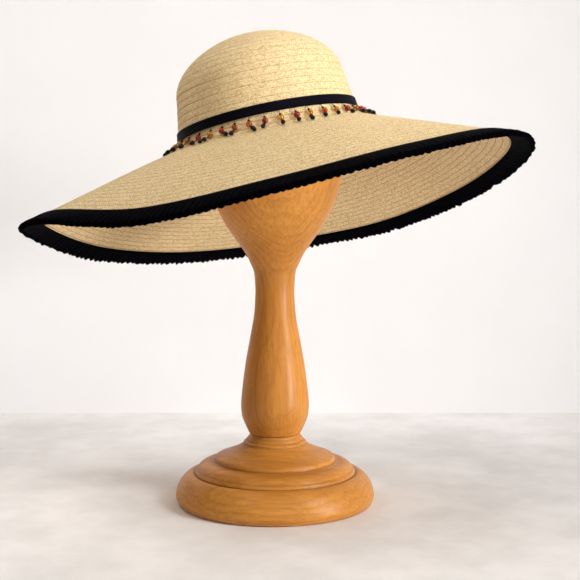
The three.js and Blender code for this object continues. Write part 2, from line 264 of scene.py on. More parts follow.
def wood_material(name, heart, turn, ring_width, ring_share):
    """Varnished wood whose grain runs along the local Z of a turned frame."""
    material, tree, shader = new_material(name, Roughness=0.45)
    shader.inputs["Coat Weight"].default_value = 0.18
    shader.inputs["Coat Roughness"].default_value = 0.26
    shader.inputs["Specular IOR Level"].default_value = 0.16
    place = node(tree, "ShaderNodeTexCoord").outputs["Object"]
    lying = node(tree, "ShaderNodeMapping", {"Vector": place, "Location": heart, "Rotation": turn}).outputs[0]
    tone = grain_noise(tree, lying, 0.2, 22.0)
    streak = grain_noise(tree, lying, 0.04, 340.0)
    fibre = grain_noise(tree, lying, 0.03, 1100.0, 0.6)
    hollow = node(tree, "ShaderNodeAttribute", attribute_name="hollow").outputs["Fac"]
    stains = (
        (late_wood(tree, lying, ring_width), ring_share, WOOD_LATE),
        (ranged(tree, tone, 0.35, 0.7), 0.34, WOOD_LATE),
        (ranged(tree, streak, 0.36, 0.68), 0.26, WOOD_LATE),
        (ranged(tree, fibre, 0.48, 0.66), 0.20, WOOD_PORE_AND_GROOVE_SHADE),
        # Painted shade, with pooled varnish: the grooves of the profile are darkened.
        (hollow, 0.6, WOOD_PORE_AND_GROOVE_SHADE),
    )
    wood = WOOD_EARLY
    for where, share, stain in stains:
        wood = blend_colours(tree, calc(tree, "MULTIPLY", where, share), wood, stain)
    feed(tree, shader.inputs["Base Color"], wood)
    feed(tree, shader.inputs["Roughness"], calc(tree, "ADD", 0.42, calc(tree, "MULTIPLY", fibre, 0.16)))
    bump = node(tree, "ShaderNodeBump", {"Height": fibre, "Strength": 0.10, "Distance": 0.0004})
    feed(tree, shader.inputs["Normal"], bump.outputs[0])
    return material


POST_HEART = (0.004, -0.125, 0.0)
FOOT_HEART = (0.26, 0.03, 0.0)
LAID_FLAT = (0.0, math.radians(90), 0.0)
post_wood = wood_material("varnished wood upright grain", POST_HEART, (0.06, 0.03, 0.0), 0.0052, 0.40)
foot_wood = wood_material("varnished wood flat grain", FOOT_HEART, LAID_FLAT, 0.0056, 0.42)
print("made", post_wood.name, "and", foot_wood.name)

# %% [markdown]
# The two black textiles differ. The ribbon is a satin tape with fine cross ribs and a soft shine; its rib
# crests and slubs are painted a little lighter and bluer, a painted sheen mixed with random thread tone. The
# edge is a gathered braid of matt thread, nearly black, and its threads are painted with a cold sheen like
# that of light grazing it. Both follow their own UV maps, in millimetres along and across.

# %% Black ribbon and edge materials
RIBBON_BLACK = colour(0.0022, 0.0018, 0.0036)
# Painted sheen on the ribbon's ribs, mixed with random slub tone.
RIBBON_SHEEN_AND_SLUB = colour(0.0040, 0.0034, 0.0080)
EDGE_BLACK = colour(0.0004, 0.0004, 0.0010)
# Painted cold sheen on the edge's threads.
EDGE_THREAD_SHEEN = colour(0.0018, 0.0016, 0.0052)


def millimetre_uv(tree, scale_along, scale_across):
    """The piece's own UV map, in mm, stretched along and across."""
    uv = node(tree, "ShaderNodeUVMap", uv_map="cloth").outputs[0]
    scale = (scale_along, scale_across, 1.0)
    return node(tree, "ShaderNodeMapping", {"Vector": uv, "Scale": scale}).outputs[0]


def ribbon_material():
    material, tree, shader = new_material("black satin ribbon", Roughness=0.55)
    shader.inputs["Specular IOR Level"].default_value = 0.03
    ribs = node(tree, "ShaderNodeTexWave", {"Vector": millimetre_uv(tree, 1.0, 1.0), "Scale": 0.55,
                                            "Distortion": 0.6, "Detail": 1.0}, bands_direction="X").outputs[1]
    slub = node(tree, "ShaderNodeTexNoise", {"Vector": millimetre_uv(tree, 0.12, 2.2), "Scale": 1.0,
                                             "Detail": 3.0}).outputs[0]
    # Painted sheen on the rib crests, mixed with random slub tone.
    tone = calc(tree, "MULTIPLY", calc(tree, "ADD", ribs, slub), 0.4)
    feed(tree, shader.inputs["Base Color"], blend_colours(tree, tone, RIBBON_BLACK, RIBBON_SHEEN_AND_SLUB))
    height = calc(tree, "ADD", ribs, slub)
    bump = node(tree, "ShaderNodeBump", {"Height": height, "Strength": 0.35, "Distance": 0.0002})
    feed(tree, shader.inputs["Normal"], bump.outputs[0])
    return material


def edge_material():
    material, tree, shader = new_material("black gathered braid", Roughness=0.62)
    shader.inputs["Specular IOR Level"].default_value = 0.01
    shader.inputs["Specular Tint"].default_value = colour(0.75, 0.80, 1.0)
    threads = node(tree, "ShaderNodeTexWave", {"Vector": millimetre_uv(tree, 1.0, 0.55), "Scale": 0.42,
                                               "Distortion": 2.2, "Detail": 2.0},
                   bands_direction="DIAGONAL").outputs[1]
    fuzz = node(tree, "ShaderNodeTexNoise", {"Vector": millimetre_uv(tree, 1.0, 0.5), "Scale": 1.3,
                                             "Detail": 4.0}).outputs[0]
    # Painted sheen: the threads are painted a lighter, cold tint, as where light grazes them.
    tone = calc(tree, "MULTIPLY", threads, ranged(tree, fuzz, 0.4, 0.75))
    feed(tree, shader.inputs["Base Color"], blend_colours(tree, tone, EDGE_BLACK, EDGE_THREAD_SHEEN))
    height = calc(tree, "ADD", threads, calc(tree, "MULTIPLY", fuzz, 0.8))
    bump = node(tree, "ShaderNodeBump", {"Height": height, "Strength": 0.7, "Distance": 0.0005})
    feed(tree, shader.inputs["Normal"], bump.outputs[0])
    return material


ribbon_black = ribbon_material()
edge_black = edge_material()
print("made", ribbon_black.name, "and", edge_black.name)

# %% [markdown]
# The beads are cut glass-clear resin in amber, orange and red, over near-black ones with a
# green depth. A little light passes through the coloured ones, so each is brighter where
# it is thin. Cloudy streaks inside keep neighbouring beads from looking alike.

# %% Bead and thread materials
def bead_material(name, deep, clear, through, gloss):
    material, tree, shader = new_material(name, Roughness=0.14, IOR=1.5)
    shader.inputs["Transmission Weight"].default_value = through
    shader.inputs["Specular IOR Level"].default_value = gloss
    place = node(tree, "ShaderNodeTexCoord").outputs["Object"]
    cloud = node(tree, "ShaderNodeTexNoise", {"Vector": place, "Scale": 260.0, "Detail": 2.0}).outputs[0]
    feed(tree, shader.inputs["Base Color"], blend_colours(tree, ranged(tree, cloud, 0.35, 0.65), deep, clear))
    return material


def thread_material():
    material, tree, shader = new_material("dark waxed thread", Roughness=0.6)
    place = node(tree, "ShaderNodeTexCoord").outputs["Object"]
    twist = node(tree, "ShaderNodeTexNoise", {"Vector": place, "Scale": 1500.0}).outputs[0]
    feed(tree, shader.inputs["Base Color"],
         blend_colours(tree, twist, colour(0.03, 0.015, 0.008), colour(0.10, 0.05, 0.02)))
    return material


BEAD_FINISHES = {
    "amber": ((0.30, 0.09, 0.008), (1.0, 0.50, 0.06), 0.8, 0.6),
    "orange": ((0.34, 0.035, 0.004), (0.98, 0.24, 0.025), 0.8, 0.6),
    "red": ((0.22, 0.008, 0.004), (0.85, 0.06, 0.016), 0.75, 0.6),
    "dark": ((0.0012, 0.0016, 0.0012), (0.0030, 0.0040, 0.0030), 0.0, 0.22),
}
bead_finish = {}
for tint, (deep, clear, through, gloss) in BEAD_FINISHES.items():
    bead_finish[tint] = bead_material(f"{tint} bead", colour(*deep), colour(*clear), through, gloss)
thread_dark = thread_material()
print("bead finishes:", ", ".join(bead_finish))

# %% [markdown]
# Most pieces here are rings of points joined row to row: a lathe, a shell or a folded
# band. One helper makes them all. Each strip of faces may carry its own UV spans, which a
# row of braid needs, and a row that shrinks to a point is closed by a fan at the axis.

# %% Mesh from closed rows of points
def new_object(name, mesh, material, smooth=True):
    """An object at the origin, in the scene, with one material."""
    made = bpy.data.objects.new(name, mesh)
    bpy.context.scene.collection.objects.link(made)
    made.data.materials.append(material)
    made.data.polygons.foreach_set("use_smooth", [smooth] * len(made.data.polygons))
    return made


def ring_faces(rows, sides, wrap):
    """Corner numbers of the four-sided faces between each row and the next."""
    here = np.arange(rows if wrap else rows - 1)[:, None]
    step = np.arange(sides)[None, :]
    there = (here + 1) % rows
    after = (step + 1) % sides
    corners = (here * sides + step, there * sides + step, there * sides + after, here * sides + after)
    return np.stack(corners, axis=-1).reshape(-1, 4)


def ring_mesh(name, loops, uv_name=None, counts=None, levels=None, wrap=False, poles=False):
    """A mesh from rows of points. counts and levels give each strip's UV spans."""
    rows, sides = loops.shape[:2]
    points = loops.reshape(-1, 3)
    faces = [tuple(face) for face in ring_faces(rows, sides, wrap)]
    if poles:
        points = np.vstack([points, loops[0].mean(axis=0), loops[-1].mean(axis=0)])
        first, last = len(points) - 2, len(points) - 1
        base = (rows - 1) * sides
        faces += [(first, j, (j + 1) % sides) for j in range(sides)]
        faces += [(last, base + (j + 1) % sides, base + j) for j in range(sides)]
    mesh = bpy.data.meshes.new(name)
    mesh.from_pydata(points.tolist(), [], faces)
    if uv_name:
        step = np.arange(sides) / sides
        after = step + 1.0 / sides
        u = np.stack([step, step, after, after], axis=-1)[None] * np.asarray(counts)[:, None, None]
        low, high = np.asarray(levels, float).T
        v = np.stack([low, high, high, low], axis=-1)[:, None, :].repeat(sides, axis=1)
        uv = np.stack([u, v], axis=-1).reshape(-1)
        layer = mesh.uv_layers.new(name=uv_name)
        full = np.zeros(len(mesh.loops) * 2, np.float32)
        full[:len(uv)] = uv
        layer.data.foreach_set("uv", full)
    mesh.update()
    return mesh


def add_floats(mesh, name, values):
    """A named number on each vertex."""
    layer = mesh.attributes.new(name, "FLOAT", "POINT")
    layer.data.foreach_set("value", np.asarray(values, np.float32))


def add_vectors(mesh, name, values):
    """A named direction or size on each vertex."""
    layer = mesh.attributes.new(name, "FLOAT_VECTOR", "POINT")
    layer.data.foreach_set("vector", np.asarray(values, np.float32).reshape(-1))


print("mesh helpers ready")

# %% [markdown]
# Geometry Nodes make what repeats: rows of braid, pleats, loose ends and beads. A tree has
# named inputs, and a modifier's inputs are set by each socket's identifier. When the
# modifier has done its work, the result becomes a plain mesh, which any program can read.

# %% Helpers for Geometry Nodes
def new_tree(name, inputs):
    """A Geometry Nodes tree with a geometry input, named inputs and a geometry output."""
    tree = bpy.data.node_groups.new(name, "GeometryNodeTree")
    tree.interface.new_socket("Geometry", in_out="INPUT", socket_type="NodeSocketGeometry")
    for label, kind in inputs.items():
        tree.interface.new_socket(label, in_out="INPUT", socket_type=f"NodeSocket{kind}")
    tree.interface.new_socket("Geometry", in_out="OUTPUT", socket_type="NodeSocketGeometry")
    return tree, tree.nodes.new("NodeGroupInput").outputs


def end_tree(tree, geometry, material):
    """Ends a tree in real geometry with its material."""
    real = node(tree, "GeometryNodeRealizeInstances", {0: geometry}).outputs[0]
    dressed = node(tree, "GeometryNodeSetMaterial", {"Geometry": real, "Material": material}).outputs[0]
    feed(tree, tree.nodes.new("NodeGroupOutput").inputs[0], dressed)


def moved_by(tree, geometry, offset):
    """A geometry with each point moved by its own offset."""
    return node(tree, "GeometryNodeSetPosition", {"Geometry": geometry, "Offset": offset}).outputs[0]


def turned_to(tree, vector):
    """A rotation that turns the local Z to a vector."""
    return node(tree, "FunctionNodeAlignRotationToVector", {"Vector": vector}, axis="Z").outputs[0]


def placed_on(tree, points, thing, rotation, scale):
    """One copy of a thing on every point."""
    return node(tree, "GeometryNodeInstanceOnPoints", {
        "Points": points, "Instance": thing, "Rotation": rotation, "Scale": scale}).outputs[0]


def named(tree, name, data_type="FLOAT"):
    """A named attribute as a field."""
    return node(tree, "GeometryNodeInputNamedAttribute", {"Name": name}, data_type=data_type).outputs[0]


def shaped_by(piece, tree, values):
    """Runs a tree on a piece and keeps the result as its plain mesh."""
    modifier = piece.modifiers.new(tree.name, "NODES")
    modifier.node_group = tree
    for item in tree.interface.items_tree:
        if item.item_type == "SOCKET" and item.in_out == "INPUT" and item.name in values:
            modifier[item.identifier] = values[item.name]
    graph = bpy.context.evaluated_depsgraph_get()
    mesh = bpy.data.meshes.new_from_object(piece.evaluated_get(graph))
    piece.modifiers.clear()
    piece.data = mesh
    print(piece.name, "has", len(mesh.polygons), "faces from", tree.name)
    return piece


# %% [markdown]
# The brim has a rule: seen from the side at any bearing, it leaves the crown almost
# straight down, turns outward, and then droops to its edge. A short table gives the slope
# at the root and at the edge every 30 degrees, and a smooth curve joins the table's rows.
# Walking out along the slope in small steps gives the brim's middle line at each bearing.

# %% The brim's middle line
HEADLINE_RADIUS = 90.7
STRAW = 2.0
BRIM_WIDTH = 177.4
WALL_SLOPE = 83.0
LINE_STEP = 0.5
LINE_START = -2.0
LINE_END = BRIM_WIDTH + 4.0
BRIM_COLUMNS = ("root", "edge", "turn")
BRIM_ROWS = np.array([
    (25, 26, 6), (35.5, 32, 6), (46.5, 33, 6), (50.5, 26.5, 6),
    (43, 27.5, 6), (29.5, 25.5, 6), (18.5, 15.5, 6), (14, 20, 9),
    (14.5, 37, 12.5), (18, 33, 14), (18, 27, 12.5), (20, 21.5, 9),
])


def brim_value(column, bearings):
    """One column of the table at any bearings, in degrees, smooth round the hat."""
    values = BRIM_ROWS[:, BRIM_COLUMNS.index(column)]
    place = np.mod(bearings, 360.0) / (360.0 / len(values))
    i = np.floor(place).astype(int)
    t = place - i
    a, b, c, d = (values[(i + k) % len(values)] for k in (-1, 0, 1, 2))
    slope_in, slope_out, rise = (c - a) / 2, (d - b) / 2, c - b
    square = 3 * rise - 2 * slope_in - slope_out
    cube = slope_in + slope_out - 2 * rise
    return b + t * (slope_in + t * (square + t * cube))


def brim_slopes(bearings, distances):
    """Slopes below level, in radians, for each bearing and distance out."""
    out = np.maximum(distances, 0.0)[None, :]
    root, edge, turn = (brim_value(name, bearings)[:, None] for name in BRIM_COLUMNS)
    plain = root + (edge - root) * out / BRIM_WIDTH
    fade = np.exp(-((out / turn) ** 2))
    return np.radians(plain + (WALL_SLOPE - plain) * fade)


class BrimLine:
    """The brim's middle line at a set of bearings, sampled finely from its root out."""

    def __init__(self, bearings):
        self.bearings = np.asarray(bearings, float)
        self.distances = np.arange(LINE_START, LINE_END, LINE_STEP)
        slopes = brim_slopes(self.bearings, self.distances + LINE_STEP / 2)
        run, drop = np.cos(slopes) * LINE_STEP, np.sin(slopes) * LINE_STEP
        start = np.zeros((len(self.bearings), 1))
        radius = np.hstack([start, np.cumsum(run, axis=1)])[:, :-1]
        height = -np.hstack([start, np.cumsum(drop, axis=1)])[:, :-1]
        root = int(round(-LINE_START / LINE_STEP))
        self.radius = radius - radius[:, root:root + 1] + HEADLINE_RADIUS - STRAW / 2
        self.height = height - height[:, root:root + 1]

    def points(self, distance, lift):
        """Points at a distance out, lifted off the middle line, in the hat's frame."""
        place = (np.asarray(distance, float) - LINE_START) / LINE_STEP * np.ones(len(self.bearings))
        i = np.clip(np.floor(place).astype(int), 0, len(self.distances) - 2)
        t = place - i
        pick = np.arange(len(self.bearings))
        radius = self.radius[pick, i] * (1 - t) + self.radius[pick, i + 1] * t
        height = self.height[pick, i] * (1 - t) + self.height[pick, i + 1] * t
        slope = np.arctan2(self.height[pick, i] - self.height[pick, i + 1],
                           self.radius[pick, i + 1] - self.radius[pick, i])
        radius = radius + np.sin(slope) * lift
        height = height + np.cos(slope) * lift
        angle = np.radians(self.bearings)
        return np.stack([radius * np.cos(angle), radius * np.sin(angle), height], axis=-1)


def bearings_of(sides):
    """Evenly spaced bearings, in degrees."""
    return np.arange(sides) * 360.0 / sides


def outward_at_edge(line):
    """The way straight out of the brim at its edge, in the hat's frame."""
    return line.points(BRIM_WIDTH, 0.0) - line.points(BRIM_WIDTH - 2.0, 0.0)


edge_ring = on_hat(BrimLine(bearings_of(72)).points(BRIM_WIDTH, 0.0))
print("brim edge spans", (edge_ring.max(axis=0) - edge_ring.min(axis=0)).round(3), "m")

# %% [markdown]
# The braid's rows stand proud in a real hat: each row is lapped over the one before, and
# its free edge makes a small step. This tree lifts a smooth shell along its own normals by
# that shape, so any shell with rows marked on it can be sewn the same way. A low, slow
# noise puckers the straw a little, because no sewn hat is perfectly true.

# %% A tree that sews straw rows
def sewn_rows_tree():
    tree, given = new_tree("Sewn straw rows", {
        "Step": "Float", "Pucker": "Float", "Pucker Size": "Float", "Seed": "Float", "Material": "Material"})
    share = named(tree, "row_share")
    worth = named(tree, "row_worth")
    curve = node(tree, "ShaderNodeFloatCurve", {"Value": share})
    lap = curve.mapping.curves[0].points
    lap[0].location = (0.0, 0.0)
    lap[1].location = (1.0, 0.0)
    for place in ((0.1, 0.55), (0.5, 0.75), (0.9, 1.0)):
        lap.new(*place)
    curve.mapping.update()
    normal = node(tree, "GeometryNodeInputNormal").outputs[0]
    spot = node(tree, "GeometryNodeInputPosition").outputs[0]
    pucker = node(tree, "ShaderNodeTexNoise", {"Vector": spot, "W": given["Seed"],
                                               "Scale": given["Pucker Size"], "Detail": 1.0},
                  noise_dimensions="4D").outputs[0]
    swell = calc(tree, "MULTIPLY", calc(tree, "SUBTRACT", pucker, 0.5), given["Pucker"])
    step = calc(tree, "MULTIPLY", calc(tree, "SUBTRACT", curve.outputs[0], 0.6), given["Step"])
    lift = calc(tree, "MULTIPLY", calc(tree, "ADD", step, swell), worth)
    moved = moved_by(tree, given["Geometry"], scaled(tree, normal, lift))
    end_tree(tree, moved, given["Material"])
    return tree


sewn_rows = sewn_rows_tree()
ROW_STEP = 0.22 * MM
ROW_PUCKER = 0.7 * MM
print("made the tree", sewn_rows.name)

# %% [markdown]
# A row of braid is about 7 mm wide and its strands about 2 mm. The rows are counted from
# the middle of the crown outwards, and each shell is cut into bands at the row edges, so
# the step falls exactly on the seam. The crown and the brim both use this table of rows.

# %% Rows on a shell
ROW_WIDTH = 6.9
STRAND_WIDTH = 2.2
ROW_CUTS = (0.0, 0.1, 0.5, 0.9)


def row_places(length, first=0.0):
    """Distances along a shell that meet every row edge, with each one's row place."""
    rows = int(round(length / ROW_WIDTH))
    width = length / rows
    places = [(row + cut) for row in range(rows) for cut in ROW_CUTS] + [float(rows)]
    places = np.array(places)
    return first + places * width, places


def strand_counts(radii, places):
    """Whole strands round each strip: one number for each row of braid."""
    rows = np.floor((places[:-1] + places[1:]) / 2).astype(int)
    middle = np.array([radii[:-1][rows == row].mean() for row in rows])
    return np.maximum(np.round(2 * math.pi * middle / STRAND_WIDTH), 3)


print("cuts in each row:", len(ROW_CUTS))

# %% [markdown]
# The crown is one shell: a wall that tapers a little, then a round dome. Its side view is a
# superellipse, slightly flatter on top than a circle, which is how a blocked crown sits.
# The profile is walked by its real length, so all rows have one width, as real braid has.
# The inside surface lies one straw thickness in, and both meet at the hidden lower edge.

# %% Crown
WALL_HEIGHT = 42.0
WALL_TOP_RADIUS = 84.0
CROWN_HEIGHT = 94.6
DOME_POWER = 1.87
CROWN_BOTTOM = 1.9
CROWN_SIDES = 240
POLE_GAP = 0.35
DOME_POINTS = 1200
WALL_POINTS = 200
SEAM_SHORT = 1e-4
INSIDE_WORTH = 0.5


def wall_radius(height):
    """The wall's outside radius at a height above the headline."""
    return HEADLINE_RADIUS + (WALL_TOP_RADIUS - HEADLINE_RADIUS) * height / WALL_HEIGHT


def crown_profile():
    """Radius and height from the middle of the top to the lower edge, finely sampled."""
    turn = np.linspace(math.pi / 2, 0.0, DOME_POINTS)
    radius = WALL_TOP_RADIUS * np.cos(turn) ** (2 / DOME_POWER)
    height = WALL_HEIGHT + (CROWN_HEIGHT - WALL_HEIGHT) * np.sin(turn) ** (2 / DOME_POWER)
    radius[0] = 0.0
    low = np.linspace(WALL_HEIGHT, CROWN_BOTTOM, WALL_POINTS)[1:]
    return np.concatenate([radius, wall_radius(low)]), np.concatenate([height, low])


def walked(radius, height, distances):
    """Points of a profile at given lengths along it."""
    length = np.concatenate([[0.0], np.cumsum(np.hypot(np.diff(radius), np.diff(height)))])
    return np.interp(distances, length, radius), np.interp(distances, length, height), length[-1]


def spun(radius, height, sides):
    """Rows of points from a profile, one row for each of its points."""
    angle = np.radians(bearings_of(sides))
    return np.stack([radius[:, None] * np.cos(angle), radius[:, None] * np.sin(angle),
                     np.broadcast_to(height[:, None], (len(height), sides))], axis=-1)


def crown_inside(radius, height):
    """The same profile, one straw thickness further in."""
    narrower = (WALL_TOP_RADIUS - STRAW) / WALL_TOP_RADIUS
    rise = CROWN_HEIGHT - WALL_HEIGHT
    lower = (rise - STRAW) / rise
    dome = height > WALL_HEIGHT
    return (np.where(dome, radius * narrower, radius - STRAW),
            np.where(dome, WALL_HEIGHT + (height - WALL_HEIGHT) * lower, height))


def crown_piece():
    fine_radius, fine_height = crown_profile()
    length = walked(fine_radius, fine_height, [0.0])[2]
    distances, places = row_places(length)
    distances[0] = POLE_GAP
    radius, height, _ = walked(fine_radius, fine_height, distances)
    inner_radius, inner_height = crown_inside(radius, height)
    loops = spun(np.concatenate([radius, inner_radius[::-1]]),
                 np.concatenate([height, inner_height[::-1]]), CROWN_SIDES)
    counts = strand_counts(radius, places)
    levels = np.stack([places[:-1], places[1:] - SEAM_SHORT], axis=-1)
    both_counts = np.concatenate([counts, counts[-1:], counts[::-1]])
    both_levels = np.concatenate([levels, levels[-1:], levels[::-1, ::-1]])
    mesh = ring_mesh("crown_straw", on_hat(loops), "braid", both_counts, both_levels, poles=True)
    share = np.repeat(np.concatenate([places % 1.0, places[::-1] % 1.0]), CROWN_SIDES)
    worth = np.concatenate([np.ones(len(radius)), np.full(len(radius), INSIDE_WORTH)])
    add_floats(mesh, "row_share", np.append(share, [0.0, 0.0]))
    add_floats(mesh, "row_worth", np.append(np.repeat(worth, CROWN_SIDES), [1.0, INSIDE_WORTH]))
    piece = new_object("crown_straw", mesh, straw)
    return shaped_by(piece, sewn_rows, {"Step": ROW_STEP, "Pucker": ROW_PUCKER, "Pucker Size": 22.0,
                                        "Seed": 3.0, "Material": straw})


crown = crown_piece()
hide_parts("crown_top", "crown_side")
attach(crown, "root")

# %% [markdown]
# The brim is the second shell, sewn on where the crown ends. Top and underside are the
# middle line lifted by half a thickness each way. The rows run on outwards to the edge,
# where the black braid hides the cut. Both sides show the rows, as in a real brim.

# %% Brim
BRIM_SIDES = 320
BRIM_START = -1.3
BRIM_END = BRIM_WIDTH - 2.0
UNDERSIDE_WORTH = 0.8


def brim_piece():
    line = BrimLine(bearings_of(BRIM_SIDES))
    distances, places = row_places(BRIM_END - BRIM_START, BRIM_START)
    top = np.stack([line.points(d, STRAW / 2) for d in distances])
    under = np.stack([line.points(d, -STRAW / 2) for d in distances[::-1]])
    loops = np.concatenate([top, under])
    radii = np.hypot(top[..., 0], top[..., 1]).mean(axis=1)
    counts = strand_counts(radii, places)
    levels = np.stack([places[:-1], places[1:] - SEAM_SHORT], axis=-1)
    both_counts = np.concatenate([counts, counts[-1:], counts[::-1], counts[:1]])
    both_levels = np.concatenate([levels, levels[-1:], levels[::-1, ::-1], levels[:1]])
    mesh = ring_mesh("brim_straw", on_hat(loops), "braid", both_counts, both_levels, wrap=True)
    share = np.concatenate([places % 1.0, places[::-1] % 1.0])
    worth = np.concatenate([np.ones(len(places)), np.full(len(places), UNDERSIDE_WORTH)])
    worth[[0, len(places) - 1, len(places), -1]] = 0.0
    add_floats(mesh, "row_share", np.repeat(share, BRIM_SIDES))
    add_floats(mesh, "row_worth", np.repeat(worth, BRIM_SIDES))
    piece = new_object("brim_straw", mesh, straw)
    return shaped_by(piece, sewn_rows, {"Step": ROW_STEP, "Pucker": ROW_PUCKER, "Pucker Size": 18.0,
                                        "Seed": 8.0, "Material": straw})


brim = brim_piece()
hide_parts("brim_inner", "brim_outer")
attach(brim, "root")

# %% [markdown]
# The ribbon is a narrow tape drawn tight round the foot of the crown. It is a closed band
# with rounded edges and slightly thicker selvedges, which catch a thin line of light. A
# slow ripple of a tenth of a millimetre lets its shine break up as real satin does.

# %% Ribbon round the crown
BAND_LOW = 0.5
BAND_WIDTH = 9.5
BAND_GAP = 0.3
RIBBON_SIDES = 360
RIBBON_SECTION = (
    (0.0, 0.0), (0.0, 0.8), (0.12, 1.12), (0.9, 1.15), (1.5, 1.0), (4.75, 1.02),
    (8.0, 1.0), (8.6, 1.15), (9.38, 1.12), (BAND_WIDTH, 0.8), (BAND_WIDTH, 0.0),
)


def ribbon_piece():
    angle = np.radians(bearings_of(RIBBON_SIDES))
    ripple = 0.07 * np.sin(7 * angle + 0.4) + 0.05 * np.sin(16 * angle)
    loops = []
    for up, out in RIBBON_SECTION:
        height = BAND_LOW + up
        radius = wall_radius(height) + BAND_GAP + out + ripple * min(out, 1.0)
        loops.append(np.stack([radius * np.cos(angle), radius * np.sin(angle),
                               np.full(RIBBON_SIDES, height)], axis=-1))
    round_mm = 2 * math.pi * HEADLINE_RADIUS
    along = np.full(len(loops), round_mm)
    ups = [up for up, _ in RIBBON_SECTION]
    levels = np.stack([ups, ups[1:] + ups[:1]], axis=-1)
    mesh = ring_mesh("ribbon", on_hat(np.array(loops)), "cloth", along, levels, wrap=True)
    return new_object("ribbon", mesh, ribbon_black)


ribbon = ribbon_piece()
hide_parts("hat_band")
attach(ribbon, "root")
print("ribbon faces:", len(ribbon.data.polygons))

# %% [markdown]
# The black edge is a gathered braid folded over the brim's edge and stitched down. Its
# inner border is smooth, and towards the fold it is crimped into small slanting pleats,
# so its outline is ragged. The band is a plain folded section swept round the brim, and a
# tree crimps it: waves of a given width and depth, uneven by a noise with a fixed seed.

# %% Gathered edge
TRIM_WIDTH = 20.8
TRIM_START = BRIM_WIDTH - TRIM_WIDTH
PLEATS = 236
PLEAT_POINTS = 16
PLEAT_SLANT = 0.055
RIBS_PER_PLEAT = 3
CRIMP_DEPTH = 0.50 * MM
CRIMP_REACH = 1.6 * MM
LOBE_SHARE, RIB_SHARE, ROUGH_SHARE = 1.4, 0.3, 4.0
WAVE_MIDDLE = 0.6
WAVE_LOWEST = -0.7
SLACK_IN_FRONT = 0.5
TRIM_SECTION = (
    (0.0, 1.45, 0.0), (0.0, 2.1, 0.0), (0.8, 2.5, 0.1), (4.0, 2.6, 0.35), (8.0, 2.6, 0.55), (12.0, 2.6, 0.75),
    (16.0, 2.6, 0.9), (18.6, 2.4, 1.0), (20.2, 1.5, 1.0), (20.9, 0.0, 1.0), (20.2, -1.5, 1.0),
    (18.6, -2.4, 1.0), (16.0, -2.6, 0.9), (12.0, -2.6, 0.75), (8.0, -2.6, 0.55), (4.0, -2.6, 0.35),
    (0.8, -2.5, 0.1), (0.0, -2.1, 0.0), (0.0, -1.45, 0.0), (18.4, -1.4, 0.0), (18.4, 1.4, 0.0),
)


def crimp_tree():
    tree, given = new_tree("Crimped braid", {
        "Depth": "Float", "Reach": "Float", "Unevenness": "Float", "Seed": "Float", "Material": "Material"})
    phase, worth = named(tree, "pleat"), named(tree, "crimp")
    outward = named(tree, "outward", "FLOAT_VECTOR")
    spot = node(tree, "GeometryNodeInputPosition").outputs[0]
    noise = node(tree, "ShaderNodeTexNoise", {"Vector": spot, "W": given["Seed"], "Scale": 60.0,
                                              "Detail": 2.0}, noise_dimensions="4D").outputs[0]
    drift = calc(tree, "MULTIPLY", calc(tree, "SUBTRACT", noise, 0.5), given["Unevenness"])
    turns = calc(tree, "MULTIPLY", calc(tree, "ADD", phase, drift), math.pi)
    lobe = calc(tree, "ABSOLUTE", calc(tree, "SINE", turns))
    rib = calc(tree, "ABSOLUTE", calc(tree, "SINE", calc(tree, "MULTIPLY", turns, RIBS_PER_PLEAT)))
    fray = node(tree, "ShaderNodeTexNoise", {"Vector": spot, "W": given["Seed"], "Scale": 130.0,
                                             "Detail": 4.0, "Roughness": 0.7}, noise_dimensions="4D")
    rough = calc(tree, "SUBTRACT", fray.outputs[0], 0.5)
    wave = calc(tree, "ADD", calc(tree, "MULTIPLY", lobe, LOBE_SHARE), calc(tree, "MULTIPLY", rib, RIB_SHARE))
    wave = calc(tree, "ADD", wave, calc(tree, "MULTIPLY", rough, ROUGH_SHARE))
    wave = calc(tree, "MULTIPLY", calc(tree, "SUBTRACT", wave, WAVE_MIDDLE), worth)
    wave = calc(tree, "MAXIMUM", wave, WAVE_LOWEST)
    normal = node(tree, "GeometryNodeInputNormal").outputs[0]
    rise = scaled(tree, normal, calc(tree, "MULTIPLY", wave, given["Depth"]))
    front_to_back = node(tree, "ShaderNodeSeparateXYZ", {0: spot}).outputs[1]
    slack = calc(tree, "ADD", SLACK_IN_FRONT, ranged(tree, front_to_back, -0.16, 0.10))
    steep = calc(tree, "MULTIPLY", wave, calc(tree, "POWER", worth, 4.0))
    steep = calc(tree, "MULTIPLY", calc(tree, "MULTIPLY", steep, given["Reach"]), slack)
    reach = scaled(tree, outward, steep)
    offset = node(tree, "ShaderNodeVectorMath", {0: rise, 1: reach}, operation="ADD").outputs[0]
    end_tree(tree, moved_by(tree, given["Geometry"], offset), given["Material"])
    return tree


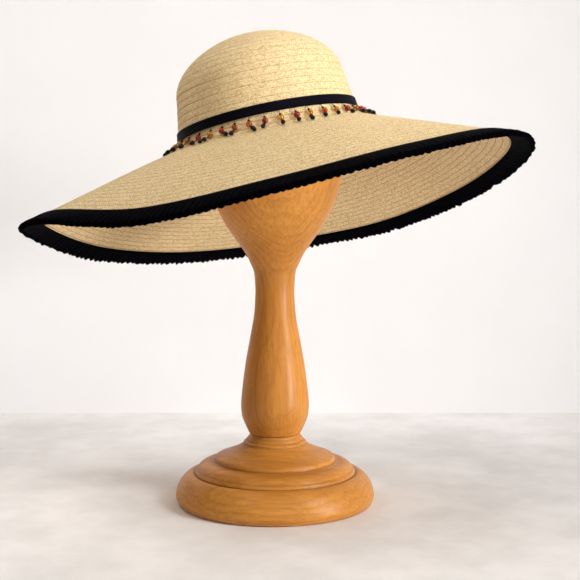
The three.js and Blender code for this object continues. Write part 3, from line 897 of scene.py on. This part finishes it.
def edge_piece():
    sides = PLEATS * PLEAT_POINTS
    line = BrimLine(bearings_of(sides))
    loops = np.stack([line.points(TRIM_START + out, lift) for out, lift, _ in TRIM_SECTION])
    outs = np.array([out for out, _, _ in TRIM_SECTION])
    round_mm = 2 * math.pi * float(np.hypot(loops[9, :, 0], loops[9, :, 1]).mean())
    levels = np.cumsum(np.abs(np.diff(outs, append=outs[0])) + 0.6)
    spans = np.stack([np.concatenate([[0.0], levels[:-1]]), levels], axis=-1)
    mesh = ring_mesh("edge_braid", on_hat(loops), "cloth", np.full(len(outs), round_mm), spans, wrap=True)
    phase = np.arange(sides)[None, :] / PLEAT_POINTS + PLEAT_SLANT * outs[:, None]
    outward = outward_at_edge(line)
    outward /= np.linalg.norm(outward, axis=1, keepdims=True)
    add_floats(mesh, "pleat", phase.reshape(-1))
    add_floats(mesh, "crimp", np.repeat([worth for _, _, worth in TRIM_SECTION], sides))
    add_vectors(mesh, "outward", np.tile(turned_to_hat(outward), (len(outs), 1)))
    piece = new_object("edge_braid", mesh, edge_black)
    return shaped_by(piece, crimp_tree(), {"Depth": CRIMP_DEPTH, "Reach": CRIMP_REACH, "Unevenness": 1.4,
                                           "Seed": 2.0, "Material": edge_black})


edge = edge_piece()
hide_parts("edge_trim")
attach(edge, "root")

# %% [markdown]
# Short ends of thread stick out of the fold all round and make its outline ragged. Each is
# a small tapered spike, so one cone is placed on many points and turned outwards, with
# its size and lean drawn from a fixed seed. All of them together stay a light mesh.

# %% Loose ends along the edge
END_COUNT = 420
END_LENGTH = 2.6 * MM
END_RADIUS = 0.35 * MM


def loose_ends_tree():
    tree, given = new_tree("Loose ends", {
        "Length": "Float", "Radius": "Float", "Lean": "Float", "Seed": "Int", "Material": "Material"})
    cone = node(tree, "GeometryNodeMeshCone", {
        "Vertices": 5, "Radius Top": 0.0, "Radius Bottom": given["Radius"], "Depth": given["Length"]},
                fill_type="NGON").outputs["Mesh"]
    turn = turned_to(tree, named(tree, "outward", "FLOAT_VECTOR"))
    lean = node(tree, "FunctionNodeRandomValue", {"Seed": given["Seed"]}, data_type="FLOAT_VECTOR")
    feed(tree, lean.inputs[0], (-1.0, -1.0, -3.1))
    feed(tree, lean.inputs[1], (1.0, 1.0, 3.1))
    leaned = scaled(tree, lean.outputs[0], given["Lean"])
    spin = node(tree, "FunctionNodeEulerToRotation", {0: leaned}).outputs[0]
    facing = node(tree, "FunctionNodeRotateRotation", {0: turn, 1: spin}, rotation_space="LOCAL").outputs[0]
    size = node(tree, "FunctionNodeRandomValue", {2: 0.55, 3: 1.25, "Seed": given["Seed"]}, data_type="FLOAT")
    end_tree(tree, placed_on(tree, given["Geometry"], cone, facing, size.outputs[1]), given["Material"])
    return tree


def points_object(name, points, material):
    """Loose points for a tree to place things on."""
    mesh = bpy.data.meshes.new(name)
    mesh.from_pydata(np.asarray(points).tolist(), [], [])
    return new_object(name, mesh, material)


def loose_ends_piece():
    chance = np.random.default_rng(17)
    bearings = (np.arange(END_COUNT) + chance.uniform(-0.35, 0.35, END_COUNT)) * 360.0 / END_COUNT
    line = BrimLine(bearings)
    points = line.points(BRIM_WIDTH - 0.5, chance.uniform(-1.5, 1.5, END_COUNT))
    piece = points_object("edge_ends", on_hat(points), edge_black)
    add_vectors(piece.data, "outward", turned_to_hat(outward_at_edge(line)))
    return shaped_by(piece, loose_ends_tree(), {"Length": END_LENGTH, "Radius": END_RADIUS, "Lean": 0.45,
                                                "Seed": 5, "Material": edge_black})


ends = loose_ends_piece()
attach(ends, "root")

# %% [markdown]
# Forty small drops hang from the ribbon's lower edge and lie on the brim. Each is a thread
# with a tiny seed bead, a coloured bead, a second seed bead and one or two long dark beads
# that have swung aside. The table repeats the CAD's: a bearing, a colour, a swing, and how
# many dark beads. The drops on the far side repeat the near ones.

# %% Where the drops hang
DROP_ROWS = (
    (180, "amber", 0, 1), (189, "orange", -10, 1), (198, "amber", -15, 1), (207, "amber", -12, 1),
    (217, "amber", -15, 1), (227, "red", -18, 1), (236, "amber", -25, 2), (244, "red", 40, 1),
    (252, "orange", -15, 1), (260.5, "orange", 24, 2), (269.5, "red", -18, 1), (278.5, "amber", 0, 1),
    (287.5, "red", -5, 1), (295.5, "amber", -15, 2), (305, "orange", -25, 1), (314, "amber", -28, 1),
    (323.5, "red", -15, 1), (333, "amber", -5, 1), (342, "red", -5, 1), (351, "orange", -5, 1),
)
COLOUR_RADIUS, COLOUR_LENGTH, COLOUR_REACH = 3.0, 6.0, 10.0
DARK_RADIUS, DARK_LENGTH, DARK_BEYOND = 2.2, 6.4, 9.5
PAIR_LENGTH = 1.7 * DARK_LENGTH
BEAD_CLEAR = STRAW / 2 + 0.4


def over_brim(bearing, distance, sideways, lift):
    """A point over the brim, out at a bearing and moved sideways, in the hat's frame."""
    turned = bearing + math.degrees(sideways / (HEADLINE_RADIUS + distance))
    return BrimLine([turned]).points(distance, lift)[0]


def unit(vector):
    """A vector at length one."""
    return vector / np.linalg.norm(vector)


def drop_parts(bearing, swing, darks):
    """Where one drop's thread, beads and seed beads lie, in the hat's frame."""
    along, aside = math.cos(math.radians(swing)), math.sin(math.radians(swing))
    angle = math.radians(bearing)
    hang = wall_radius(0.0) + BAND_GAP + 0.5
    top = np.array((hang * math.cos(angle), hang * math.sin(angle), 0.6))
    middle = over_brim(bearing, COLOUR_REACH, 0.0, BEAD_CLEAR + COLOUR_RADIUS)
    length = DARK_LENGTH if darks == 1 else PAIR_LENGTH
    ends = [over_brim(bearing, COLOUR_REACH + run * along, run * aside, BEAD_CLEAR + DARK_RADIUS)
            for run in (DARK_BEYOND - DARK_LENGTH / 2, DARK_BEYOND - DARK_LENGTH / 2 + length)]
    return top, middle, ends[0], ends[1]


drops = []
for turn in (0, 180):
    for bearing, tint, swing, darks in DROP_ROWS:
        drops.append((tint, darks, drop_parts(bearing + turn, swing, darks)))
print("drops:", len(drops))

# %% [markdown]
# One tree makes every kind of bead: a ball with few sides, squeezed to the bead's radius
# and length, set on each point along its thread. Real ones are polished smooth, so each
# shows one small light. The same tree, with other sizes, makes the seed beads.

# %% A tree that strings beads
def strung_beads_tree():
    tree, given = new_tree("Strung beads", {
        "Facets": "Int", "Rings": "Int", "Variation": "Float", "Seed": "Int", "Material": "Material"})
    ball = node(tree, "GeometryNodeMeshUVSphere", {"Segments": given["Facets"], "Rings": given["Rings"],
                                                   "Radius": 1.0}).outputs["Mesh"]
    polished = node(tree, "GeometryNodeSetShadeSmooth", {"Geometry": ball, "Shade Smooth": True}).outputs[0]
    turn = turned_to(tree, named(tree, "axis", "FLOAT_VECTOR"))
    roll = node(tree, "FunctionNodeRandomValue", {2: 0.0, 3: 2 * math.pi, "Seed": given["Seed"]},
                data_type="FLOAT").outputs[1]
    spin = node(tree, "FunctionNodeAxisAngleToRotation", {"Axis": (0.0, 0.0, 1.0), "Angle": roll}).outputs[0]
    facing = node(tree, "FunctionNodeRotateRotation", {0: turn, 1: spin}, rotation_space="LOCAL").outputs[0]
    less = node(tree, "FunctionNodeRandomValue", {3: 1.0, "Seed": given["Seed"]}, data_type="FLOAT")
    feed(tree, less.inputs[2], calc(tree, "SUBTRACT", 1.0, given["Variation"]))
    size = scaled(tree, named(tree, "size", "FLOAT_VECTOR"), less.outputs[1])
    end_tree(tree, placed_on(tree, given["Geometry"], polished, facing, size), given["Material"])
    return tree


strung_beads = strung_beads_tree()


def bead_piece(name, places, finish, facets=14, rings=9):
    """One mesh of beads; each place is a centre, an axis, a radius and a half length."""
    piece = points_object(name, on_hat([centre for centre, _, _, _ in places]), finish)
    add_vectors(piece.data, "axis", turned_to_hat([axis for _, axis, _, _ in places]))
    add_vectors(piece.data, "size", [(radius * MM, radius * MM, half * MM) for _, _, radius, half in places])
    shaped_by(piece, strung_beads, {"Facets": facets, "Rings": rings, "Variation": 0.07, "Seed": 11,
                                    "Material": finish})
    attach(piece, "root")
    return piece


print("made the tree", strung_beads.name)

# %% [markdown]
# The coloured beads of one tint form one mesh, which stands in for that tint's CAD drops.
# The dark beads and the seed beads are meshes of their own, because their finish differs.

# %% Coloured, dark and seed beads
SEED_ABOVE, SEED_BELOW = 1.45, 1.0


def coloured_places(tint):
    """The coloured beads of one tint, each along its own fall."""
    return [(middle, unit(middle - top), COLOUR_RADIUS, COLOUR_LENGTH / 2)
            for own, _, (top, middle, _, _) in drops if own == tint]


def dark_places():
    """The dark beads: one along its lie, or two end to end."""
    places = []
    for _, darks, (_, _, start, end) in drops:
        lie = unit(end - start)
        half = np.linalg.norm(end - start) / (2 * darks)
        for k in range(darks):
            places.append((start + lie * half * (2 * k + 1), lie, DARK_RADIUS, half))
    return places


def seed_places():
    """The seed beads: one above and one below each coloured bead."""
    places = []
    for _, _, (top, middle, start, _) in drops:
        fall = unit(middle - top)
        above = middle - fall * (COLOUR_LENGTH / 2 + 1.0)
        below = (middle + fall * COLOUR_LENGTH / 2 + start) / 2
        places.append((above, fall, SEED_ABOVE, 1.1))
        places.append((below, unit(start - middle), SEED_BELOW, 0.8))
    return places


for tint in ("amber", "orange", "red"):
    beads = bead_piece(f"beads_{tint}", coloured_places(tint), bead_finish[tint])
    own = [f"bead_drop_{number + 1:02d}" for number, drop in enumerate(drops) if drop[0] == tint]
    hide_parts(*own)
dark_beads = bead_piece("beads_dark", dark_places(), bead_finish["dark"])
seed_beads = bead_piece("beads_seed", seed_places(), bead_finish["dark"], facets=8, rings=5)

# %% [markdown]
# The threads show for a few millimetres above each coloured bead and between the beads.
# Each is a path of four points, and a tree sweeps a small circle along all of them.

# %% Threads
THREAD_RADIUS = 0.3 * MM


def thread_tree():
    tree, given = new_tree("Threads", {"Radius": "Float", "Sides": "Int", "Material": "Material"})
    path = node(tree, "GeometryNodeMeshToCurve", {0: given["Geometry"]}).outputs[0]
    ring = node(tree, "GeometryNodeCurvePrimitiveCircle", {"Resolution": given["Sides"],
                                                           "Radius": given["Radius"]}).outputs[0]
    swept = node(tree, "GeometryNodeCurveToMesh", {"Curve": path, "Profile Curve": ring, "Fill Caps": True})
    end_tree(tree, swept.outputs[0], given["Material"])
    return tree


def threads_piece():
    points, edges = [], []
    for _, _, (top, middle, start, end) in drops:
        base = len(points)
        points += [top, middle, start, (start + end) / 2]
        edges += [(base + k, base + k + 1) for k in range(3)]
    mesh = bpy.data.meshes.new("threads")
    mesh.from_pydata(on_hat(points).tolist(), edges, [])
    piece = new_object("threads", mesh, thread_dark)
    return shaped_by(piece, thread_tree(), {"Radius": THREAD_RADIUS, "Sides": 6, "Material": thread_dark})


threads = threads_piece()
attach(threads, "root")

# %% [markdown]
# The stand was turned on a lathe, so its shape is one profile spun round an axis. Curved stretches of the
# profile are smooth, and its steps are crisp corners with a small round, as sandpaper leaves them. The
# profile marks which points are corners. Each stretch between corners is a smooth curve, and a short blur
# rounds every corner by half a millimetre. The same profile also tells where a groove is, and the wood is
# painted darker there, partly for varnish pooled in the groove and partly as painted shade.

# %% Turned profiles
FOOT_PROFILE = (
    (0, 0.3, 1), (95.6, 0.3, 1), (97.8, 1.0, 1), (100.2, 6.5, 0), (100.0, 11, 0), (98.3, 17.5, 0),
    (94.4, 24.2, 0), (88.6, 29.2, 0), (84.0, 31.0, 0), (82.4, 30.6, 1), (81.2, 30.0, 1),
    (81.2, 31.4, 0), (80.0, 33.8, 1),
    (78.8, 34.4, 1), (77.8, 36.4, 0), (74.5, 39.4, 0), (69.5, 41.2, 0), (66.5, 41.4, 1), (64.0, 41.6, 0),
    (60.8, 42.8, 1), (60.8, 44.0, 0), (60.2, 46.2, 0), (58.8, 47.7, 1), (50.0, 51.0, 0), (42.0, 54.2, 0),
    (35.2, 57.8, 0), (31.7, 60.3, 1), (31.9, 61.6, 0), (30.6, 62.9, 1), (29.0, 63.7, 1), (28.8, 65.0, 0),
    (27.4, 66.3, 1), (26.3, 67.6, 0), (25.4, 69.9, 1), (0, 69.9, 1),
)
POST_PROFILE = (
    (0, 70.3, 1), (25.8, 70.3, 1), (29.8, 79, 0), (33, 87, 0), (34.2, 96, 0), (34.1, 104, 0), (32.5, 120, 0),
    (29.5, 142, 0), (26.5, 159, 0), (23.5, 175, 0), (21, 190, 0), (19.8, 206, 0), (19.6, 218, 0),
    (20.9, 233, 0), (24, 241, 0), (28.8, 251, 0), (37.5, 264, 0), (46.1, 276, 0), (56.5, 295, 0),
    (62.6, 313, 0), (67.1, 330, 0), (72.4, 362, 0),
)
HEAD_CENTRE, HEAD_RADIUS, HEAD_TOP = 392.0, 73.9, 468.1
PROFILE_STEP = 0.5
STRETCH_POINTS = 24
CORNER_ROUND = 0.55
FULL_BEND = 0.45


def smooth_stretch(points):
    """A smooth curve through the points of one stretch."""
    if len(points) == 2:
        return np.array(points, float)
    pts = np.array(points, float)
    ends = np.vstack([2 * pts[0] - pts[1], pts, 2 * pts[-1] - pts[-2]])
    made = []
    for i in range(1, len(ends) - 2):
        a, b, c, d = ends[i - 1:i + 3]
        t = np.linspace(0, 1, STRETCH_POINTS, endpoint=False)[:, None]
        made.append(0.5 * (2 * b + (c - a) * t + (2 * a - 5 * b + 4 * c - d) * t ** 2
                           + (3 * b - a - 3 * c + d) * t ** 3))
    return np.vstack(made + [pts[-1:]])


def even_profile(rows):
    """The whole profile at even steps along it, with its corners a little rounded."""
    stretches, current = [], [rows[0][:2]]
    for radius, height, corner in rows[1:]:
        current.append((radius, height))
        if corner:
            stretches.append(smooth_stretch(current))
            current = [(radius, height)]
    if len(current) > 1:
        stretches.append(smooth_stretch(current))
    line = np.vstack(stretches)
    length = np.concatenate([[0.0], np.cumsum(np.hypot(*np.diff(line, axis=0).T))])
    at = np.linspace(0, length[-1], int(length[-1] / PROFILE_STEP))
    even = np.stack([np.interp(at, length, line[:, k]) for k in (0, 1)], axis=-1)
    width = int(4 * CORNER_ROUND / PROFILE_STEP)
    kernel = np.exp(-0.5 * (np.arange(-width, width + 1) * PROFILE_STEP / CORNER_ROUND) ** 2)
    kernel /= kernel.sum()
    padded = np.vstack([np.tile(even[:1], (width, 1)), even, np.tile(even[-1:], (width, 1))])
    soft = np.stack([np.convolve(padded[:, k], kernel, "valid") for k in (0, 1)], axis=-1)
    soft[0], soft[-1] = even[0], even[-1]
    return soft


def hollowness(line):
    """How sharply a profile turns inwards at each point, from none to one."""
    way = np.gradient(line, axis=0)
    heading = np.unwrap(np.arctan2(way[:, 1], way[:, 0]))
    bend = -np.gradient(heading) / PROFILE_STEP
    spread = np.convolve(np.clip(bend, 0, None), np.ones(5) / 5, "same")
    return np.clip(spread / FULL_BEND, 0, 1)


print("foot profile points:", len(even_profile(FOOT_PROFILE)))

# %% [markdown]
# Spinning the even profile gives each turned piece. The first and last rows lie on the
# axis, where a fan of triangles closes the shape. Lathe work is true to a hair, so there
# is no wobble here: the life of the surface is in its grain and its varnish.

# %% Foot and post
STAND_SIDES = 160
AXIS_GAP = 0.05
DOME_TURN = 6


def turned_piece(name, line, material):
    """A turned piece, painted darker where its profile is hollow, for pooled varnish and painted shade."""
    line = line.copy()
    line[[0, -1], 0] = AXIS_GAP
    loops = spun(line[:, 0], line[:, 1], STAND_SIDES) * MM
    mesh = ring_mesh(name, loops, poles=True)
    # The hollow values mark where the wood gets painted shade and pooled varnish.
    groove = np.repeat(hollowness(line), STAND_SIDES)
    add_floats(mesh, "hollow", np.append(groove, [0.0, 0.0]))
    return new_object(name, mesh, material)


def post_rows():
    """The post's profile with the head's round top added."""
    dome = []
    for angle in range(0, 91, DOME_TURN):
        turn = math.radians(angle)
        across = 0.0 if angle == 90 else HEAD_RADIUS * math.cos(turn)
        dome.append((across, HEAD_CENTRE + (HEAD_TOP - HEAD_CENTRE) * math.sin(turn), 0))
    return POST_PROFILE + tuple(dome)


foot = turned_piece("foot_wood", even_profile(FOOT_PROFILE), foot_wood)
post = turned_piece("post_wood", even_profile(post_rows()), post_wood)
for piece, own in ((foot, "stand_foot"), (post, "stand_post")):
    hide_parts(own)
    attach(piece, "root")
print("post faces:", len(post.data.polygons))

# %% [markdown]
# Each closed mesh but the coloured beads has its normals checked, because a profile that runs the other way,
# or a folded section, can turn a shape inside out, and light would then fall on it wrongly.

# %% Faces point outwards
def facing_out(piece):
    """Turns a closed mesh's faces outwards by the sign of its volume."""
    mesh = piece.data
    mesh.calc_loop_triangles()
    corners = np.zeros(len(mesh.loop_triangles) * 3, np.int32)
    mesh.loop_triangles.foreach_get("vertices", corners)
    points = np.zeros(len(mesh.vertices) * 3)
    mesh.vertices.foreach_get("co", points)
    a, b, c = points.reshape(-1, 3)[corners.reshape(-1, 3)].transpose(1, 0, 2)
    volume = float(np.einsum("ij,ij->i", a, np.cross(b, c)).sum()) / 6
    if volume < 0:
        mesh.flip_normals()
    print(piece.name, "holds", round(abs(volume) * 1e6, 1), "cubic cm", "turned" if volume < 0 else "as made")


for piece in (crown, brim, ribbon, edge, ends, foot, post, threads, dark_beads, seed_beads):
    facing_out(piece)

# %% [markdown]
# The stage is a pale floor of smooth plaster and a plain wall, both far larger than the
# view. The floor carries a faint cloudy tone, so the stand has something to stand on. The
# wall is close behind the hat. It is clear from its back, so the hat also shows from there.

# %% Floor and wall
WALL_BACK = 0.481
STAGE_REACH = 4.0


def plaster_material(name, low, high, scale, glow=0.0):
    material, tree, shader = new_material(name, Roughness=0.7)
    shader.inputs["Emission Color"].default_value = colour(1.0, 0.98, 0.98)
    shader.inputs["Emission Strength"].default_value = glow
    place = node(tree, "ShaderNodeTexCoord").outputs["Object"]
    cloud = node(tree, "ShaderNodeTexNoise", {"Vector": place, "Scale": scale, "Detail": 6.0,
                                              "Roughness": 0.6}).outputs[0]
    feed(tree, shader.inputs["Base Color"], blend_colours(tree, ranged(tree, cloud, 0.3, 0.7), low, high))
    return material


def flat_sheet(name, corners, material):
    mesh = bpy.data.meshes.new(name)
    mesh.from_pydata(corners, [], [(0, 1, 2, 3)])
    sheet = new_object(name, mesh, material, smooth=False)
    return sheet


def front_only(material):
    """Shows a flat sheet from its front and leaves it clear from behind."""
    tree = material.node_tree
    out = tree.nodes["Material Output"]
    mix = node(tree, "ShaderNodeMixShader", {
        0: node(tree, "ShaderNodeNewGeometry").outputs["Backfacing"],
        1: tree.nodes["Principled BSDF"].outputs[0],
        2: node(tree, "ShaderNodeBsdfTransparent").outputs[0]})
    feed(tree, out.inputs["Surface"], mix.outputs[0])
    return material


left, right = -STAGE_REACH, STAGE_REACH
floor_corners = [(left, left, 0), (right, left, 0), (right, right, 0), (left, right, 0)]
wall_corners = [(left, WALL_BACK, 0), (right, WALL_BACK, 0),
                (right, WALL_BACK, STAGE_REACH), (left, WALL_BACK, STAGE_REACH)]
pale_floor = plaster_material("pale floor", colour(0.82, 0.80, 0.79), colour(0.96, 0.94, 0.935), 11.0)
pale_wall = plaster_material("pale wall", colour(0.83, 0.82, 0.83), colour(0.86, 0.85, 0.86), 3.0, 0.05)
floor = flat_sheet("floor", floor_corners, pale_floor)
wall = flat_sheet("wall", wall_corners, front_only(pale_wall))
print("stage:", floor.name, "and", wall.name)

# %% [markdown]
# The light is a soft window on the right, low enough to reach under the raised side of the
# brim, with a lamp above it, a wide pale ceiling over the left and a weak fill in front.
# That gives the crown its light right side and its darker left one, a bright right edge on
# the stand, and a soft line of shine on the varnish. The surround is bright to the camera
# but gives little light, so it fills the picture past the stage and keeps the shadows.

# %% Light and camera
def area_light(name, place, aim, size, power, tint):
    """A soft square light at a place, turned towards a point."""
    lamp = bpy.data.lights.new(name, "AREA")
    lamp.size = size
    lamp.energy = power
    lamp.color = tint
    holder = bpy.data.objects.new(name, lamp)
    bpy.context.scene.collection.objects.link(holder)
    way = Matrix.Translation(place).to_translation() - Matrix.Translation(aim).to_translation()
    holder.location = place
    holder.rotation_euler = way.to_track_quat("Z", "Y").to_euler()
    return holder


key = area_light("key", (1.5, -0.95, 1.45), (0, 0, 0.47), 0.6, 3.3, (0.98, 1.0, 1.0))
key.data.spread = math.radians(60)
side = area_light("side", (1.9, -1.1, 0.25), (-0.03, 0, 0.26), 0.8, 4.8, (0.98, 0.99, 0.98))
side.data.spread = math.radians(56)
area_light("top", (-0.6, -0.75, 2.05), (0, 0, 0.3), 1.2, 21.0, (1.0, 0.94, 0.88))
area_light("fill", (0.5, -2.2, 0.6), (0, 0, 0.3), 1.4, 4.5, (1.0, 0.93, 0.86))

ROOM_LIGHT, ROOM_SEEN = 0.05, 0.85
world = bpy.data.worlds.new("bright room")
world.use_nodes = True
room = world.node_tree
surround = room.nodes["Background"]
surround.inputs[0].default_value = colour(1.0, 0.94, 0.88)
seen = node(room, "ShaderNodeLightPath").outputs["Is Camera Ray"]
feed(room, surround.inputs[1], ranged(room, seen, 0.0, 1.0, ROOM_LIGHT, ROOM_SEEN))
bpy.context.scene.world = world
bpy.context.scene.view_settings.view_transform = "Standard"

CAMERA_PLACE = (0.0152, -1.1988, 0.3149)
CAMERA_PITCH = math.radians(4.764)
SENSOR_WIDTH = 36.0
FOCAL_PIXELS = 1200.0
PICTURE_PIXELS = 580.0
lens = bpy.data.cameras.new("camera")
lens.sensor_width = SENSOR_WIDTH
lens.lens = SENSOR_WIDTH * FOCAL_PIXELS / PICTURE_PIXELS
camera = bpy.data.objects.new("camera", lens)
camera.location = CAMERA_PLACE
camera.rotation_euler = (math.pi / 2 - CAMERA_PITCH, 0.0, 0.0)
bpy.context.scene.collection.objects.link(camera)
bpy.context.scene.camera = camera
print("lens:", round(lens.lens, 2), "mm")
